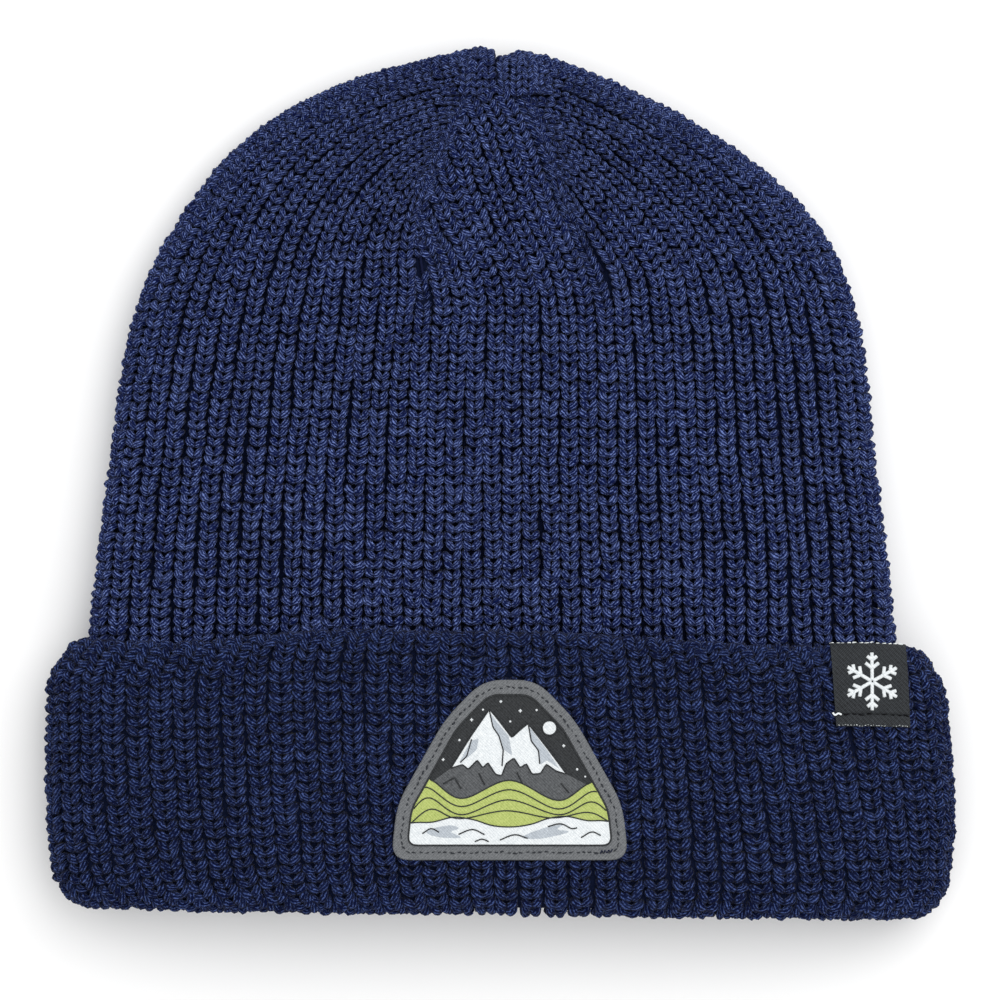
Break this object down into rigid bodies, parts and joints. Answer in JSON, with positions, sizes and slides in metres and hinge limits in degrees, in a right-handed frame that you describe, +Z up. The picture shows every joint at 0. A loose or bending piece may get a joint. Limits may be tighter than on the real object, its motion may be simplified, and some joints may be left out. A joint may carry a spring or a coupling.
{
  "type": "knit beanie",
  "caption": "Ribbed knit beanie lying flat, with a turned-up cuff, a sewn picture patch and a folded woven side tag.",
  "frame": {"origin": "middle of the hat's footprint on the table it lies on", "axes": "+X across the hat towards its tagged side, +Y from the mouth to the crown, +Z up from the table out of the front"},
  "size_m": [0.2274, 0.2187, 0.0318],
  "materials": {
    "navy_knit": "thick one by one rib knit, matt",
    "navy_thread": "sewing yarn, matt",
    "grey_twill": "woven twill, matt",
    "black_weave": "woven, matt",
    "white_weave": "woven, matt",
    "lime_weave": "woven, matt",
    "grey_thread": "sewing thread, matt",
    "black_ribbon": "woven satin ribbon, slight sheen",
    "black_thread": "sewing thread, matt"
  },
  "bodies": {
    "root": {"knit_body": "navy_knit", "knit_cuff": "navy_knit", "crown_closing_knot": "navy_thread", "crown_seam_front_left": "navy_thread", "crown_seam_front_right": "navy_thread", "crown_seam_back_left": "navy_thread", "crown_seam_back_right": "navy_thread", "patch_ground": "grey_twill", "patch_black_weave": "black_weave", "patch_white_weave": "white_weave", "patch_green_weave": "lime_weave", "patch_stitching": "grey_thread", "side_tag": "black_ribbon", "side_tag_mark": "white_weave", "side_tag_stitching": "black_thread"}
  },
  "joints": []
}
